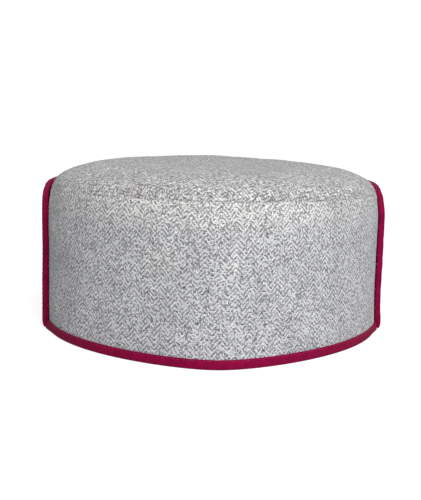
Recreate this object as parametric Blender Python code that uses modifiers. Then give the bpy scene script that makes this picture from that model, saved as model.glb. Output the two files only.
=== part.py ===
"""Himachali topi: a round woollen cap with a turned-up front flap and bound edges.

The cap stands on its hem. +Z is up, the wearer looks along +Y, and the plain back is at -Y.
The origin is on the floor, under the middle of the cap. All sizes are in metres.
"""

import math

import bmesh
import bpy

COLLECTION = "himachali_topi"

# Driving dimensions
HEAD_ROUND = 0.560        # inside measure round the opening
WIDTH_SHARE = 0.893       # width over length of the hem, as the cap stands unworn
END_POINT = 0.39          # how pointed the front and back of the hem are; 0 gives an ellipse
POINT_SOFTNESS = 0.30     # how rounded those two points are; 0 gives a sharp crease
BACK_HEIGHT = 0.0823      # floor to crown seam, in the middle of the back
FRONT_HEIGHT = 0.0710     # floor to crown seam, in the middle of the front
LEFT_HEIGHT = 0.0757      # floor to crown seam, on the wearer's left (-X)
RIGHT_HEIGHT = 0.0739     # floor to crown seam, on the wearer's right (+X)
SEAM_INSET = 0.0038       # how far the crown seam stands inside the hem, at the back and the front
SIDE_SEAM_INSET = 0.0013  # the same on the two sides
CROWN_RISE = 0.0138       # crown seam to the top of the crown
WALL_CLOTH = 0.0022       # tweed with its backing
FLAP_CLOTH = 0.0015
TAPE_CLOTH = 0.0005       # the folded tape that binds the edges
TAPE_FACE = 0.0044        # how far the tape covers each side of an edge
TAPE_FOLD = 0.0010        # rounding of the tape's two folds
FLAP_END = math.radians(83.5)  # from the middle of the back to each end of the flap
FLAP_GAP = 0.0013         # wall to the inner face of the flap
FLAP_FOLD = 0.0024        # outer rounding where the flap turns up
FLAP_CORNER_LENGTH = 0.028   # the flap's long rounded top corners, along its edge
FLAP_CORNER_HEIGHT = 0.0130  # the same, up its ends
FLAP_SIDE_HEIGHT = 0.0764  # floor to the flap's cloth edge, beyond those corners
FLAP_FRONT_HEIGHT = 0.0765  # floor to the flap's cloth edge, in the middle of the front
TAPE_START_TURN = math.radians(48)  # how far the flap has turned up where its tape starts
CLEARANCE = 0.0003        # between pieces that are sewn together
SEAM_GAP = 0.0005         # between the crown's rim and the wall's top edge

# Mesh steps
ROUND_STEPS = 72
FLAP_STEPS = 40
HEM_STEPS = 36
CORNER_STEPS = 7
FOLD_STEPS = 4
SIDE_STEPS = 4
FOOT_STEPS = 2
FLAP_ROWS = (0.10, 0.26, 0.44, 0.62, 0.80, 0.92, 1.0)  # shares of the way up from the fold
MERGE_DISTANCE = 0.00001
CREASE_ANGLE = math.radians(50)

# Shares of the height, and of the seam's inset at that height
WALL_SECTION = (
    # height, inset
    (0.00, 0.00),
    (0.16, 0.00),
    (0.36, 0.01),
    (0.56, 0.02),
    (0.72, 0.04),
    (0.83, 0.12),
    (0.91, 0.34),
    (0.97, 0.72),
    (1.00, 1.00),
)

# Shares of the way out from the crown's middle to its rim, and of the crown's rise there
CROWN_SECTION = (
    # out, rise
    (1.000, 0.00),
    (0.996, 0.075),
    (0.985, 0.22),
    (0.960, 0.42),
    (0.910, 0.61),
    (0.820, 0.815),
    (0.680, 0.945),
    (0.480, 0.98),
    (0.240, 1.00),
    (0.000, 1.00),
)

# Soft hollows in the crown: place and spread as shares of half the width and half the length,
# and depth as a share of the crown's rise
CROWN_DENTS = (
    # x, y, spread_x, spread_y, depth
    (-0.05, -0.80, 0.10, 0.16, 0.09),
    (0.34, 0.10, 0.36, 0.42, 0.07),
)

COLOURS = {
    # piece: (red, green, blue), roughness
    "crown": ((0.36, 0.35, 0.33), 0.95),
    "side_wall": ((0.42, 0.41, 0.40), 0.95),
    "front_flap": ((0.19, 0.008, 0.045), 0.85),
    "hem_binding": ((0.25, 0.006, 0.050), 0.80),
    "flap_binding": ((0.25, 0.006, 0.050), 0.80),
}


def oval_pinch(angle):
    """How far the oval is drawn in at an angle: 1 at its sides, least at its two points."""
    soft = POINT_SOFTNESS ** 2
    return ((math.sin(angle) ** 2 + soft) / (1 + soft)) ** (END_POINT / 2)


def oval(angle):
    """Point of the unit oval; angle 0 is the middle of the back, a quarter turn the right side."""
    return math.sin(angle) * oval_pinch(angle), -math.cos(angle) / WIDTH_SHARE


def oval_slope(angle):
    """How the unit oval's point moves with the angle."""
    square = math.sin(angle) ** 2
    growth = 1 + END_POINT * square / (square + POINT_SOFTNESS ** 2)
    return math.cos(angle) * oval_pinch(angle) * growth, math.sin(angle) / WIDTH_SHARE


def oval_round(steps=720):
    """Length once round the unit oval."""
    turn = 2 * math.pi / steps
    return sum(math.hypot(*oval_slope(step * turn)) for step in range(steps)) * turn


# Half the outside width of the hem: round the outside, a wall's thickness adds 2 pi times itself
HALF_WIDTH = (HEAD_ROUND + 2 * math.pi * WALL_CLOTH) / oval_round()
HALF_LENGTH = HALF_WIDTH / WIDTH_SHARE

# The wall stands on the flap's foot
WALL_FOOT = FLAP_CLOTH + CLEARANCE

# The hem's middle is behind the origin, so that the whole cap with its flap is centred
HEM_MIDDLE = -(FLAP_GAP + FLAP_CLOTH) / 2


def plan(angle, outset):
    """Point in plan, this far outside the hem line of the wall."""
    x, y = oval(angle)
    slope_x, slope_y = oval_slope(angle)
    length = math.hypot(slope_x, slope_y)
    return (
        HALF_WIDTH * x + outset * slope_y / length,
        HALF_WIDTH * y - outset * slope_x / length + HEM_MIDDLE,
    )


def angle_along(angle, distance):
    """The angle reached by going this distance round the hem."""
    return angle + distance / (HALF_WIDTH * math.hypot(*oval_slope(angle)))


def read_section(section, share):
    """Read a section's second column at a share of its first, on a smooth curve."""
    rows = sorted(section)
    last = len(rows) - 1
    span = next((i for i in range(last) if share <= rows[i + 1][0]), last - 1)
    before, start, end, after = (rows[min(max(span + i, 0), last)] for i in (-1, 0, 1, 2))
    width = end[0] - start[0]
    part = min(max((share - start[0]) / width, 0.0), 1.0)
    lean_in = (end[1] - before[1]) / (end[0] - before[0]) * width
    lean_out = (after[1] - start[1]) / (after[0] - start[0]) * width
    cube, square = part ** 3, part ** 2
    return (
        (2 * cube - 3 * square + 1) * start[1]
        + (cube - 2 * square + part) * lean_in
        + (3 * square - 2 * cube) * end[1]
        + (cube - square) * lean_out
    )


def seam_height(angle, out=1.0):
    """Height of the crown seam at an angle, or of the soft plane inside it."""
    middle = (BACK_HEIGHT + FRONT_HEIGHT + LEFT_HEIGHT + RIGHT_HEIGHT) / 4
    lengthways = (BACK_HEIGHT - FRONT_HEIGHT) / 2 * math.cos(angle)
    sideways = (RIGHT_HEIGHT - LEFT_HEIGHT) / 2 * math.sin(angle)
    saddle = (BACK_HEIGHT + FRONT_HEIGHT - LEFT_HEIGHT - RIGHT_HEIGHT) / 4 * math.cos(2 * angle)
    return middle + out * (lengthways + sideways) + out * out * saddle


def seam_inset(angle):
    """How far the crown seam stands inside the hem at an angle."""
    return SIDE_SEAM_INSET + (SEAM_INSET - SIDE_SEAM_INSET) * math.cos(angle) ** 2


def wall_point(angle, share):
    """Point of the wall's outer face, at a share of the way from its foot to the crown seam."""
    x, y = plan(angle, -seam_inset(angle) * read_section(WALL_SECTION, share))
    z = WALL_FOOT + share * (seam_height(angle) - WALL_FOOT)
    return x, y, z


def crown_point(angle, out):
    """Point of the crown's outer face, at a share of the way from its middle to its rim."""
    rim_x, rim_y = plan(angle, -seam_inset(angle))
    x = out * rim_x
    y = HEM_MIDDLE + out * (rim_y - HEM_MIDDLE)
    rise = read_section(CROWN_SECTION, out)
    for dent_x, dent_y, spread_x, spread_y, depth in CROWN_DENTS:
        away_x = (x / HALF_WIDTH - dent_x) / spread_x
        away_y = (y / HALF_LENGTH - dent_y) / spread_y
        rise -= depth * (1 - out ** 6) * math.exp(-away_x ** 2 - away_y ** 2)
    z = seam_height(angle, out) + SEAM_GAP + CROWN_RISE * rise
    return x, y, z


def flap_height(angle):
    """Height of the flap's cloth edge; it is lowest in the middle of the front."""
    side = math.cos(FLAP_END)
    share = (side - math.cos(angle)) / (side + 1)
    return FLAP_SIDE_HEIGHT + share * (FLAP_FRONT_HEIGHT - FLAP_SIDE_HEIGHT)


def flap_edge_height(angle, from_end):
    """Height of the flap's edge, this far along it from its nearer end."""
    short = max(1 - from_end / FLAP_CORNER_LENGTH, 0.0)
    return flap_height(angle) - FLAP_CORNER_HEIGHT * (1 - math.sqrt(1 - short ** 2))


def corner_distance(turn):
    """Distance from the flap's end of a point on its rounded corner; turn goes from 0 to 90 degrees."""
    return FLAP_CORNER_LENGTH * (1 - math.cos(turn))


def flap_lean(angle, height):
    """How far the flap leans in with the wall behind it."""
    share = (height - WALL_FOOT) / (seam_height(angle) - WALL_FOOT)
    return SIDE_SEAM_INSET * read_section(WALL_SECTION, min(max(share, 0.0), 1.0))


def flap_columns():
    """Angles of the flap's columns, each with its distance from the nearer end."""
    corner = [corner_distance(math.pi / 2 * step / CORNER_STEPS) for step in range(CORNER_STEPS)]
    start = angle_along(FLAP_END, FLAP_CORNER_LENGTH)
    sweep = 2 * (math.pi - start) / FLAP_STEPS
    first = [(angle_along(FLAP_END, distance), distance) for distance in corner]
    middle = [(start + step * sweep, FLAP_CORNER_LENGTH) for step in range(FLAP_STEPS + 1)]
    last = [(2 * math.pi - angle, distance) for angle, distance in reversed(first)]
    return first + middle + last


def cloth(name, columns, rows, place, thickness):
    """A grid laid out by place(column, row) as the outer face, with its thickness behind it."""
    mesh = bpy.data.meshes.new(name)
    grid = bmesh.new()
    across, along = len(columns) - 1, len(rows) - 1
    bmesh.ops.create_grid(grid, x_segments=across, y_segments=along, size=0.5)
    for vertex in grid.verts:
        column = columns[round((vertex.co.x + 0.5) * across)]
        row = rows[round((vertex.co.y + 0.5) * along)]
        vertex.co = place(column, row)
    bmesh.ops.remove_doubles(grid, verts=grid.verts, dist=MERGE_DISTANCE)
    grid.to_mesh(mesh)
    grid.free()
    mesh.shade_smooth()
    mesh.set_sharp_from_angle(angle=CREASE_ANGLE)
    piece = bpy.data.objects.new(name, mesh)
    shell = piece.modifiers.new("cloth_thickness", "SOLIDIFY")
    shell.thickness = thickness
    shell.offset = -1
    shell.use_even_offset = True
    return piece


def full_turn():
    """Angles once round the cap, with the first repeated at the end."""
    return [2 * math.pi * step / ROUND_STEPS for step in range(ROUND_STEPS + 1)]


def make_crown():
    rows = [out for out, rise in CROWN_SECTION]
    return cloth("crown", full_turn(), rows, crown_point, WALL_CLOTH)


def make_side_wall():
    rows = [height for height, inset in WALL_SECTION]
    return cloth("side_wall", full_turn(), rows, wall_point, WALL_CLOTH)


def tape_section(cloth_thickness, past_edge):
    """Outer face of a tape folded over a cloth's edge.

    Each point is its reach past the edge, and its offset from the middle of the cloth.
    """
    side = cloth_thickness / 2 + CLEARANCE + TAPE_CLOTH
    face = past_edge - TAPE_FACE
    bend = TAPE_FOLD * (1 - math.sqrt(0.5))
    half = [
        (face, side),
        (past_edge - TAPE_FOLD, side),
        (past_edge - bend, side - bend),
        (past_edge, side - TAPE_FOLD),
    ]
    return half + [(reach, -offset) for reach, offset in reversed(half)]


def make_hem_binding():
    """Tape round the back of the hem, from one end of the flap to the other."""
    reach = angle_along(FLAP_END, -2 * CLEARANCE - TAPE_CLOTH)
    columns = [reach * (2 * step / HEM_STEPS - 1) for step in range(HEM_STEPS + 1)]

    def place(angle, spot):
        past_edge, offset = spot
        x, y = plan(angle, offset - WALL_CLOTH / 2)
        return x, y, WALL_FOOT - past_edge

    return cloth("hem_binding", columns, tape_section(WALL_CLOTH, WALL_FOOT)[::-1], place, TAPE_CLOTH)


def flap_section():
    """Outer face of the flap's fold, as outset and height, from under the wall to its upright."""
    face = FLAP_GAP + FLAP_CLOTH
    fold = [
        (face - FLAP_FOLD * (1 - math.sin(turn)), FLAP_FOLD * (1 - math.cos(turn)))
        for turn in (math.pi / 2 * step / FOLD_STEPS for step in range(FOLD_STEPS + 1))
    ]
    return [(-WALL_CLOTH, 0.0)] + fold


def make_front_flap():
    """Flap sewn under the front hem and turned up outside the wall."""
    fold = flap_section()
    rows = [(outset, height, 0.0) for outset, height in fold]
    rows += [(*fold[-1], rise) for rise in FLAP_ROWS]

    def place(column, row):
        angle, from_end = column
        outset, height, rise = row
        z = height + rise * (flap_edge_height(angle, from_end) - height)
        x, y = plan(angle, outset - flap_lean(angle, z))
        return x, y, z

    return cloth("front_flap", flap_columns(), rows, place, FLAP_CLOTH)


def flap_edge_path():
    """The flap's edge from its right end, round its top to its left end.

    Each stop is an angle, a height, an outset, the way out of the cloth's edge as shares
    round the hem and upwards, and how far the cloth has turned up there.
    """
    face = FLAP_GAP + FLAP_CLOTH / 2
    radius = FLAP_FOLD - FLAP_CLOTH / 2
    upright = math.pi / 2
    foot = []
    for step in range(FOOT_STEPS):
        turn = TAPE_START_TURN + (upright - TAPE_START_TURN) * step / FOOT_STEPS
        height = FLAP_FOLD - radius * math.cos(turn)
        outset = face - radius * (1 - math.sin(turn))
        foot.append((FLAP_END, height, outset, -1.0, 0.0, turn))
    shoulder = flap_edge_height(FLAP_END, 0.0)
    side = []
    for step in range(SIDE_STEPS):
        height = FLAP_FOLD + (shoulder - FLAP_FOLD) * step / SIDE_STEPS
        side.append((FLAP_END, height, face, -1.0, 0.0, upright))
    corner = []
    for step in range(CORNER_STEPS + 1):
        turn = upright * step / CORNER_STEPS
        from_end = corner_distance(turn)
        angle = angle_along(FLAP_END, from_end)
        height = flap_edge_height(angle, from_end)
        round_share = -FLAP_CORNER_HEIGHT * math.cos(turn)
        up_share = FLAP_CORNER_LENGTH * math.sin(turn)
        whole = math.hypot(round_share, up_share)
        corner.append((angle, height, face, round_share / whole, up_share / whole, upright))
    start = corner[-1][0]
    sweep = 2 * (math.pi - start) / FLAP_STEPS
    top = []
    for step in range(1, FLAP_STEPS):
        angle = start + step * sweep
        top.append((angle, flap_height(angle), face, 0.0, 1.0, upright))
    right = foot + side + corner
    left = [(2 * math.pi - stop[0], *stop[1:3], -stop[3], *stop[4:]) for stop in reversed(right)]
    return right + top + left


def make_flap_binding():
    """Tape round the two ends and the top edge of the flap."""

    def place(stop, spot):
        angle, height, outset, round_share, up_share, turn = stop
        reach, offset = spot
        z = height + reach * up_share - offset * math.cos(turn)
        at_angle = angle_along(angle, reach * round_share)
        x, y = plan(at_angle, outset + offset * math.sin(turn) - flap_lean(at_angle, z))
        return x, y, z

    section = tape_section(FLAP_CLOTH, CLEARANCE + TAPE_CLOTH)
    return cloth("flap_binding", flap_edge_path(), section, place, TAPE_CLOTH)


def finish(piece, collection):
    """Give a piece its own material and put it in the cap's collection."""
    colour, roughness = COLOURS[piece.name]
    material = bpy.data.materials.new(piece.name + "_cloth")
    material.use_nodes = True
    shader = material.node_tree.nodes["Principled BSDF"]
    shader.inputs["Base Color"].default_value = (*colour, 1.0)
    shader.inputs["Roughness"].default_value = roughness
    shader.inputs["Metallic"].default_value = 0.0
    piece.data.materials.append(material)
    collection.objects.link(piece)


def main():
    for old in list(bpy.data.objects):
        bpy.data.objects.remove(old, do_unlink=True)
    collection = bpy.data.collections.new(COLLECTION)
    bpy.context.scene.collection.children.link(collection)
    for make in (make_crown, make_side_wall, make_front_flap, make_hem_binding, make_flap_binding):
        finish(make(), collection)


main()
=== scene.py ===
"""Dresses the himachali topi: herringbone tweed crown and wall, maroon flap and bound edges.

Everything is in metres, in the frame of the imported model: +Z up, the plain back at -Y,
the turned-up front flap at +Y.
"""

import math

import bmesh
import bpy
from bpy.props import FloatProperty, FloatVectorProperty, IntProperty, PointerProperty
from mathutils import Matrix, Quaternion, Vector, noise


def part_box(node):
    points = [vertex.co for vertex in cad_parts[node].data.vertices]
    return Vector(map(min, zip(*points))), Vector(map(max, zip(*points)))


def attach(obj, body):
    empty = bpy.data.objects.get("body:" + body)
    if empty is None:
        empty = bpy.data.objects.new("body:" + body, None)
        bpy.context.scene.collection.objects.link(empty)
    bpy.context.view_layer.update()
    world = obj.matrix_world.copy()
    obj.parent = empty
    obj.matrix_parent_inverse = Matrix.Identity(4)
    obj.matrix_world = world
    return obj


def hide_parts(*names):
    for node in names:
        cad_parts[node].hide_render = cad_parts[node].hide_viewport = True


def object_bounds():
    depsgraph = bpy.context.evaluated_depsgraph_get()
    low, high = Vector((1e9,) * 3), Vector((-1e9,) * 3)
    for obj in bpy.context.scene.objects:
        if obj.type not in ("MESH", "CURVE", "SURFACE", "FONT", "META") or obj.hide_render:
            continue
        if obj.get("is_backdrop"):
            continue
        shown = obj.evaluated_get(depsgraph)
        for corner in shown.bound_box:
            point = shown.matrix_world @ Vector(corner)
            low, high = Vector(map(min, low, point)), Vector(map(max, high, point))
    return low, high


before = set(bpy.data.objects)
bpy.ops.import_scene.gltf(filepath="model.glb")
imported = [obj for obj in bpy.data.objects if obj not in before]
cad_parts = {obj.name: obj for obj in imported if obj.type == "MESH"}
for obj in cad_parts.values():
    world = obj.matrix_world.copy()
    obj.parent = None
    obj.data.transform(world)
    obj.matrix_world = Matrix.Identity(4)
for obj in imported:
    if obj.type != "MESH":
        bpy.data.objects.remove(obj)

bl_info = {
    "name": "Himachali topi dresser",
    "version": (1, 0, 0),
    "blender": (4, 5, 0),
    "location": "3D View > Sidebar > Topi",
    "description": "Makes the cloth pieces, bindings, stitches and stage of a woollen topi",
    "category": "Object",
}

# The wall's box gives the hem's oval
WALL_LOW, WALL_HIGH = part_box("side_wall")
HALF_WIDTH = (WALL_HIGH.x - WALL_LOW.x) / 2
HALF_LENGTH = (WALL_HIGH.y - WALL_LOW.y) / 2
HEM_MIDDLE = (WALL_HIGH.y + WALL_LOW.y) / 2
WALL_FOOT = WALL_LOW.z

# Shares of the wall's height, and of the seam's inset at that height
WALL_SECTION = (
    # height, inset
    (0.00, 0.00),
    (0.16, 0.00),
    (0.36, 0.01),
    (0.56, 0.02),
    (0.72, 0.04),
    (0.83, 0.12),
    (0.91, 0.34),
    (0.97, 0.72),
    (1.00, 1.00),
)

# Shares of the way out from the crown's middle to its rim, and of the crown's rise there
CROWN_SECTION = (
    # out, rise
    (0.000, 1.00),
    (0.240, 1.00),
    (0.480, 0.98),
    (0.680, 0.945),
    (0.820, 0.815),
    (0.910, 0.61),
    (0.960, 0.42),
    (0.985, 0.22),
    (0.996, 0.075),
    (1.000, 0.00),
)

# Soft hollows in the crown: place and spread as shares of half the width and half the length,
# and depth as a share of the crown's rise
CROWN_DENTS = (
    # x, y, spread_x, spread_y, depth
    (-0.05, -0.80, 0.075, 0.16, 0.10),
    (0.34, 0.10, 0.36, 0.42, 0.07),
)

# Places where the wall stands out from its plain form
WALL_BULGES = (
    # angle in degrees, share of height, spread in degrees, spread of height, outset in metres
    (88.0, 0.85, 16.0, 0.12, 0.0007),
    (88.0, 0.62, 18.0, 0.30, 0.0006),
    (92.0, 1.00, 24.0, 0.06, 0.0005),
    (-92.0, 1.00, 24.0, 0.08, -0.0006),
    (82.0, 0.02, 12.0, 0.12, 0.0005),
    (-40.0, 0.55, 16.0, 0.22, 0.0005),
    (28.0, 0.35, 14.0, 0.25, -0.0005),
)


class TopiShape(bpy.types.PropertyGroup):
    """Sizes of the cap's cloth."""

    end_point: FloatProperty(
        name="End point", description="How pointed the front and back of the hem are", default=0.39
    )
    point_softness: FloatProperty(
        name="Point softness", description="How rounded those two points are", default=0.30
    )
    back_height: FloatProperty(
        name="Back height", description="Floor to crown seam at the back", default=0.0823, unit="LENGTH"
    )
    front_height: FloatProperty(
        name="Front height", description="Floor to crown seam at the front", default=0.0710, unit="LENGTH"
    )
    left_height: FloatProperty(
        name="Left height", description="Floor to crown seam on the left", default=0.0757, unit="LENGTH"
    )
    right_height: FloatProperty(
        name="Right height", description="Floor to crown seam on the right", default=0.0739, unit="LENGTH"
    )
    seam_inset: FloatProperty(
        name="Seam inset", description="How far the crown seam stands in, at the back and the front",
        default=0.0038, unit="LENGTH",
    )
    side_seam_inset: FloatProperty(
        name="Side seam inset", description="How far it stands in on the two sides",
        default=0.0013, unit="LENGTH",
    )
    crown_rise: FloatProperty(
        name="Crown rise", description="Crown seam to the top of the crown", default=0.0138, unit="LENGTH"
    )
    wall_cloth: FloatProperty(
        name="Wall cloth", description="Thickness of the backed tweed", default=0.0022, unit="LENGTH"
    )
    flap_cloth: FloatProperty(
        name="Flap cloth", description="Thickness of the flap's cloth", default=0.0015, unit="LENGTH"
    )
    flap_end: FloatProperty(
        name="Flap end", description="Middle of the back to each end of the flap",
        default=math.radians(83.5), subtype="ANGLE",
    )
    flap_gap: FloatProperty(
        name="Flap gap", description="Wall to the flap's inner face", default=0.0013, unit="LENGTH"
    )
    flap_fold: FloatProperty(
        name="Flap fold", description="Rounding where the flap turns up", default=0.0033, unit="LENGTH"
    )
    flap_corner_length: FloatProperty(
        name="Flap corner length", description="The flap's long rounded corners, along its edge",
        default=0.028, unit="LENGTH",
    )
    flap_corner_height: FloatProperty(
        name="Flap corner height", description="The flap's long rounded corners, up its ends",
        default=0.0130, unit="LENGTH",
    )
    flap_side_height: FloatProperty(
        name="Flap height at its ends", description="Floor to the flap's cloth edge",
        default=0.0764, unit="LENGTH",
    )
    flap_front_height: FloatProperty(
        name="Flap height in front", description="Floor to the flap's cloth edge",
        default=0.0765, unit="LENGTH",
    )
    tape_cloth: FloatProperty(
        name="Tape cloth", description="Thickness of the binding tape", default=0.0005, unit="LENGTH"
    )
    tape_face: FloatProperty(
        name="Tape face", description="How far the tape covers each side", default=0.0052, unit="LENGTH"
    )
    tape_fold: FloatProperty(
        name="Tape fold", description="Rounding of the tape's folds", default=0.0010, unit="LENGTH"
    )
    seam_gap: FloatProperty(
        name="Seam gap", description="Between the crown's rim and the wall", default=0.0001, unit="LENGTH"
    )
    corner_flare: FloatProperty(
        name="Corner flare", description="How far the hem's tape swells out to meet the flap's",
        default=0.0017, unit="LENGTH",
    )
    clearance: FloatProperty(
        name="Clearance", description="Between pieces sewn together", default=0.0003, unit="LENGTH"
    )


class TweedLook(bpy.types.PropertyGroup):
    """Yarns and colours of the herringbone tweed."""

    warp: FloatProperty(
        name="Warp spacing", description="From one upright yarn to the next", default=0.00054, unit="LENGTH"
    )
    weft: FloatProperty(
        name="Weft spacing", description="From one level yarn to the next", default=0.00062, unit="LENGTH"
    )
    column: IntProperty(
        name="Column", description="Upright yarns in each column of the herringbone", default=7, min=2
    )
    light_yarn: FloatVectorProperty(
        name="Light yarn", description="Colour of the upright yarns", subtype="COLOR",
        default=(0.735, 0.74, 0.775),
    )
    grey_yarn: FloatVectorProperty(
        name="Grey yarn", description="Colour of the level yarns", subtype="COLOR",
        default=(0.315, 0.32, 0.345),
    )
    dark_yarn: FloatVectorProperty(
        name="Dark flecks", description="Colour of the darkest flecks", subtype="COLOR",
        default=(0.035, 0.035, 0.04),
    )


class TapeLook(bpy.types.PropertyGroup):
    """Colours and stitches of the maroon cloth."""

    tape_colour: FloatVectorProperty(
        name="Tape", description="Colour of the binding tape", subtype="COLOR",
        default=(0.29, 0.0040, 0.053),
    )
    velvet_colour: FloatVectorProperty(
        name="Flap", description="Colour of the flap's velvet", subtype="COLOR",
        default=(0.17, 0.004, 0.032),
    )
    stitch_length: FloatProperty(
        name="Stitch", description="Length of a stitch", default=0.0022, unit="LENGTH"
    )
    stitch_pitch: FloatProperty(
        name="Stitch pitch", description="From one stitch to the next", default=0.0027, unit="LENGTH"
    )
    thread_radius: FloatProperty(
        name="Thread", description="Half the thread's thickness", default=0.00014, unit="LENGTH"
    )


class StageLook(bpy.types.PropertyGroup):
    """Camera, floor and lights."""

    distance: FloatProperty(
        name="Distance", description="Camera to the middle of the cap", default=0.840, unit="LENGTH"
    )
    elevation: FloatProperty(
        name="Elevation", description="Camera above the level", default=math.radians(10.49), subtype="ANGLE"
    )
    turn: FloatProperty(
        name="Turn", description="Camera to the cap's left", default=math.radians(2.25), subtype="ANGLE"
    )
    roll: FloatProperty(
        name="Roll", description="Camera's tilt about its own axis", default=math.radians(0.82),
        subtype="ANGLE",
    )
    lens: FloatProperty(name="Lens", description="Focal length in millimetres", default=111.0)
    key_power: FloatProperty(name="Key", description="Power of the main light", default=20.5)
    key_turn: FloatProperty(
        name="Key turn", description="Main light to the right of the camera's side",
        default=math.radians(17), subtype="ANGLE",
    )
    key_elevation: FloatProperty(
        name="Key elevation", description="Main light above the level",
        default=math.radians(38), subtype="ANGLE",
    )
    world_strength: FloatProperty(name="Sky", description="Strength of the even light", default=0.44)
    floor_glow: FloatProperty(
        name="Floor glow", description="White added to the floor as the camera sees it", default=0.75
    )


def settings():
    return bpy.context.scene.topi


def oval_pinch(angle):
    """How far the oval is drawn in at an angle: 1 at its sides, least at its two points."""
    shape = settings().shape
    soft = shape.point_softness ** 2
    return ((math.sin(angle) ** 2 + soft) / (1 + soft)) ** (shape.end_point / 2)


def oval_slope(angle):
    """How the hem's point moves with the angle."""
    shape = settings().shape
    square = math.sin(angle) ** 2
    growth = 1 + shape.end_point * square / (square + shape.point_softness ** 2)
    return HALF_WIDTH * math.cos(angle) * oval_pinch(angle) * growth, HALF_LENGTH * math.sin(angle)


def plan(angle, outset):
    """Point in plan this far outside the hem line; angle 0 is the middle of the back."""
    slope_x, slope_y = oval_slope(angle)
    length = math.hypot(slope_x, slope_y)
    x = HALF_WIDTH * math.sin(angle) * oval_pinch(angle)
    y = HEM_MIDDLE - HALF_LENGTH * math.cos(angle)
    return x + outset * slope_y / length, y - outset * slope_x / length


def angle_along(angle, distance):
    """The angle reached by going this distance round the hem."""
    return angle + distance / math.hypot(*oval_slope(angle))


def read_section(section, share):
    """Read a section's second column at a share of its first, on a smooth curve."""
    last = len(section) - 1
    span = next((i for i in range(last) if share <= section[i + 1][0]), last - 1)
    before, start, end, after = (section[min(max(span + i, 0), last)] for i in (-1, 0, 1, 2))
    width = end[0] - start[0]
    part = min(max((share - start[0]) / width, 0.0), 1.0)
    lean_in = (end[1] - before[1]) / (end[0] - before[0]) * width
    lean_out = (after[1] - start[1]) / (after[0] - start[0]) * width
    cube, square = part ** 3, part ** 2
    return (
        (2 * cube - 3 * square + 1) * start[1]
        + (cube - 2 * square + part) * lean_in
        + (3 * square - 2 * cube) * end[1]
        + (cube - square) * lean_out
    )


def seam_height(angle, out=1.0):
    """Height of the crown seam at an angle, or of the soft plane inside it."""
    shape = settings().shape
    ends = shape.back_height + shape.front_height
    sides = shape.left_height + shape.right_height
    lengthways = (shape.back_height - shape.front_height) / 2 * math.cos(angle)
    sideways = (shape.right_height - shape.left_height) / 2 * math.sin(angle)
    saddle = (ends - sides) / 4 * math.cos(2 * angle)
    return (ends + sides) / 4 + out * (lengthways + sideways) + out * out * saddle


def ripple(x, y, z, size, seed):
    """Smooth unevenness between about -1 and 1, with bumps this far apart."""
    return noise.noise(Vector((x, y, z)) / size + Vector((seed, seed, seed)))


def steps(start, end, count):
    return [start + (end - start) * step / count for step in range(count + 1)]


def cloth(name, columns, rows, place, pattern, thickness, material):
    """A fine grid laid out by place(column, row), with its thickness behind it.

    pattern(column, row) gives the cloth's own coordinates in metres, kept as its UV map.
    """
    mesh = bpy.data.meshes.new(name)
    grid = bmesh.new()
    across, along = len(columns) - 1, len(rows) - 1
    bmesh.ops.create_grid(grid, x_segments=across, y_segments=along, size=0.5)
    weave = grid.loops.layers.uv.new("cloth")
    spots = {}
    for vertex in grid.verts:
        column = columns[round((vertex.co.x + 0.5) * across)]
        row = rows[round((vertex.co.y + 0.5) * along)]
        spots[vertex] = pattern(column, row)
        vertex.co = place(column, row)
    for face in grid.faces:
        for loop in face.loops:
            loop[weave].uv = spots[loop.vert]
    bmesh.ops.remove_doubles(grid, verts=grid.verts, dist=0.00001)
    grid.to_mesh(mesh)
    grid.edges.index_update()
    cut_edges = [edge.index for edge in grid.edges if edge.is_boundary]
    grid.free()
    mesh.shade_smooth()
    mesh.set_sharp_from_angle(angle=math.radians(50))
    for index in cut_edges:
        mesh.edges[index].use_edge_sharp = True
    mesh.materials.append(material)
    piece = bpy.data.objects.new(name, mesh)
    bpy.context.scene.collection.objects.link(piece)
    shell = piece.modifiers.new("cloth_thickness", "SOLIDIFY")
    shell.thickness = thickness
    shell.offset = -1
    shell.use_even_offset = True
    return piece


def settle(piece, replaced):
    """The piece rides with the cap and stands for the plain solid it covers."""
    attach(piece, "root")
    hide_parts(replaced)
    return piece


def declare_sheet(piece, held, rests_on, **sewn_on):
    """Reads the size a cloth was cut to, and its area, from its own coordinates, and does nothing further with them.
    """
    spots = [spot.vector for spot in piece.data.uv_layers["cloth"].uv]
    width, length = (max(axis) - min(axis) for axis in zip(*spots))
    area = 0.0
    for face in piece.data.polygons:
        ring = [spots[corner] for corner in face.loop_indices]
        turned = zip(ring, ring[1:] + ring[:1])
        area += abs(sum(before.x * after.y - after.x * before.y for before, after in turned)) / 2
    area = min(area, width * length)


def arc_lengths(points):
    """Distance along a row of points to each of them."""
    lengths = [0.0]
    for before, after in zip(points, points[1:]):
        lengths.append(lengths[-1] + math.dist(before, after))
    return lengths


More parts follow.
